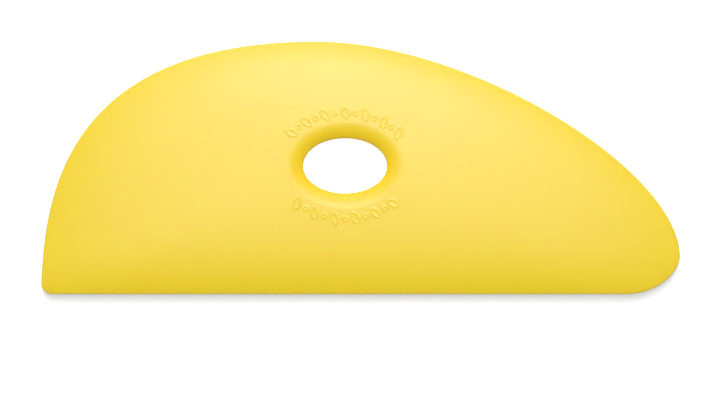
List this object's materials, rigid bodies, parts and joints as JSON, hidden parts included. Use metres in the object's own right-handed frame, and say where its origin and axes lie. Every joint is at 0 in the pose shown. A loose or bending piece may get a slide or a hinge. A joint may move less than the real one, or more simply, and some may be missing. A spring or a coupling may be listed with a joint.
{
  "type": "pottery rib",
  "caption": "Flexible one-piece pottery rib with a straight edge, an arched edge, a rounded nose and an oval finger hole, for shaping and smoothing wet clay.",
  "frame": {"origin": "on the flat back, in the middle of the overall length and width; the rib lies on its back", "axes": "+X along the straight working edge from the heel corner to the nose, +Y from the straight edge to the arched edge, +Z out of the domed face"},
  "size_m": [0.127, 0.0502, 0.0064],
  "materials": {
    "rib_polyurethane": "satin"
  },
  "bodies": {
    "root": {"rib": "rib_polyurethane"}
  },
  "joints": []
}
